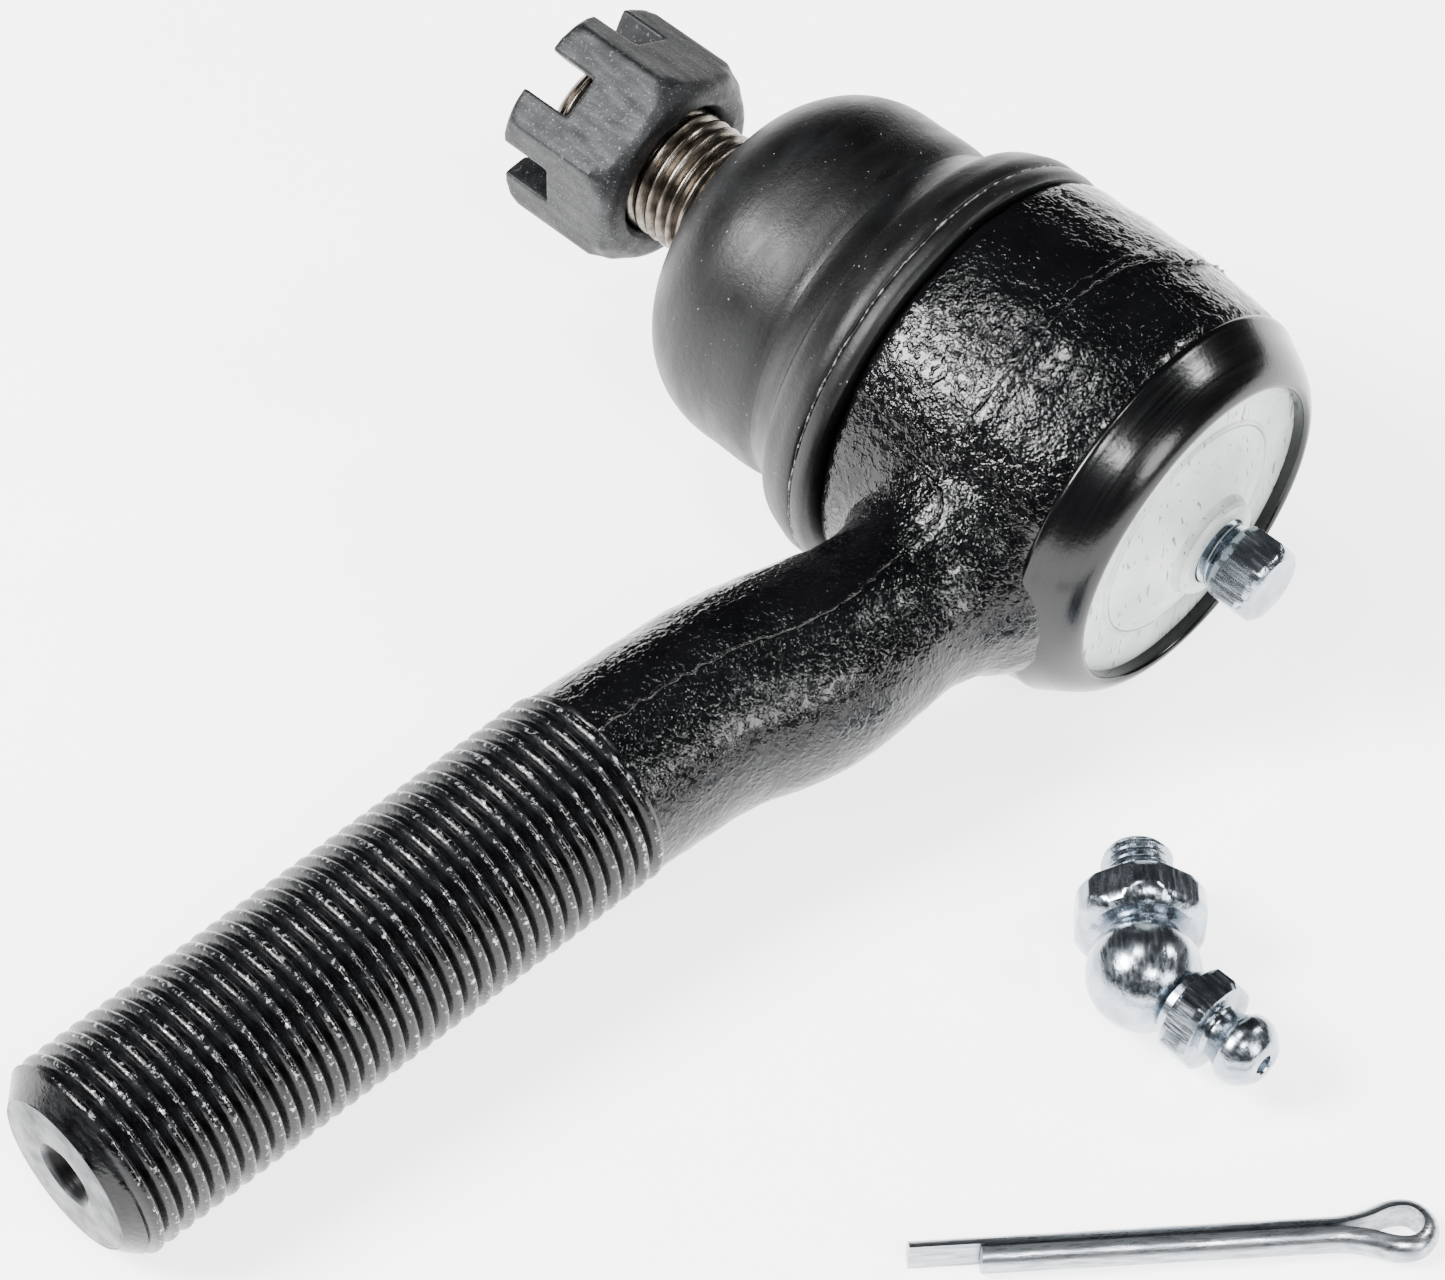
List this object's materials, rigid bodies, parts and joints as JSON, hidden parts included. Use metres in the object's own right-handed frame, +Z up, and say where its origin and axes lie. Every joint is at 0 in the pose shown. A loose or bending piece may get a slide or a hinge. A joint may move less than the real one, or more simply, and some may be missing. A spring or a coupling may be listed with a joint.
{
  "type": "tie rod end",
  "caption": "Outer tie rod end: forged socket housing with a threaded stem, tapered ball stud, castle nut, rubber dust boot, and loose grease fitting and cotter pin.",
  "frame": {"origin": "on the surface it lies on, under the middle of the footprint of the assembly and its loose pieces", "axes": "+Z up from the surface; the stem runs towards -X, dipping 6 degrees, and the stud towards +Y, rising 3.6 degrees"},
  "size_m": [0.1336, 0.1314, 0.0421],
  "materials": {
    "black_paint": "gloss black paint over a rough forged skin",
    "galvanised": "matt zinc-coated sheet steel",
    "bright_zinc": "bright zinc plating",
    "rubber": "matt black moulded rubber",
    "phosphate": "dark grey phosphate coating on steel",
    "bare_steel": "bare machined steel with a brown oil tint",
    "spring_steel": "oiled spring steel",
    "acetal": "moulded acetal",
    "sintered": "oiled sintered iron"
  },
  "bodies": {
    "housing": {"housing_forging": "black_paint", "cover_plate": "galvanised", "cover_gasket": "rubber", "preload_spring": "spring_steel", "spring_seat": "spring_steel", "lower_seat": "acetal", "dust_boot": "rubber", "boot_retaining_ring": "spring_steel", "boot_bead_insert": "spring_steel"},
    "liner": {"bearing_liner": "acetal"},
    "half_ball": {"half_ball": "sintered", "boot_neck_ring": "spring_steel"},
    "stud": {"ball_stud": "bare_steel"},
    "castle_nut": {"castle_nut": "phosphate"},
    "grease_plug": {"grease_plug": "bright_zinc"},
    "grease_fitting": {"fitting_base": "bright_zinc", "fitting_nipple": "bright_zinc", "fitting_check_spring": "spring_steel"},
    "check_ball": {"fitting_check_ball": "bright_zinc"},
    "cotter_pin": {"cotter_pin": "bright_zinc"}
  },
  "joints": [
    {"name": "liner_swing", "type": "hinge", "parent": "housing", "child": "liner", "pos_m": [0.04588, 0.00636, 0.02032], "axis": [0.9946, -0.0066, 0.1035], "range_deg": [-12, 12], "deforming": ["dust_boot"]},
    {"name": "stud_swing", "type": "hinge", "parent": "liner", "child": "half_ball", "pos_m": [0.04588, 0.00636, 0.02032], "axis": [-0.1038, -0.0629, 0.9926], "range_deg": [-12, 12], "deforming": ["dust_boot"]},
    {"name": "stud_spin", "type": "hinge", "parent": "half_ball", "child": "stud", "pos_m": [0.04588, 0.00636, 0.02032], "axis": [0, 0.998, 0.0633], "continuous": true},
    {"name": "nut_turn", "type": "hinge", "parent": "stud", "child": "castle_nut", "pos_m": [0.04588, 0.05825, 0.02361], "axis": [0, 0.998, 0.0633], "continuous": true},
    {"name": "plug_turn", "type": "hinge", "parent": "housing", "child": "grease_plug", "pos_m": [0.04588, -0.0136, 0.01905], "axis": [0, -0.998, -0.0633], "continuous": true},
    {"name": "fitting_lift", "type": "slide", "parent": "housing", "child": "grease_fitting", "axis": [0, 0, 1], "range_m": [0, 0.04]},
    {"name": "check_ball_push", "type": "slide", "parent": "grease_fitting", "child": "check_ball", "axis": [0.0541, 0.9985, 0], "range_m": [0, 0.001], "stiffness_N_per_m": 60, "springref_m": -0.0005, "deforming": ["fitting_check_spring"]},
    {"name": "cotter_lift", "type": "slide", "parent": "housing", "child": "cotter_pin", "axis": [0, 0, 1], "range_m": [0, 0.04]}
  ]
}
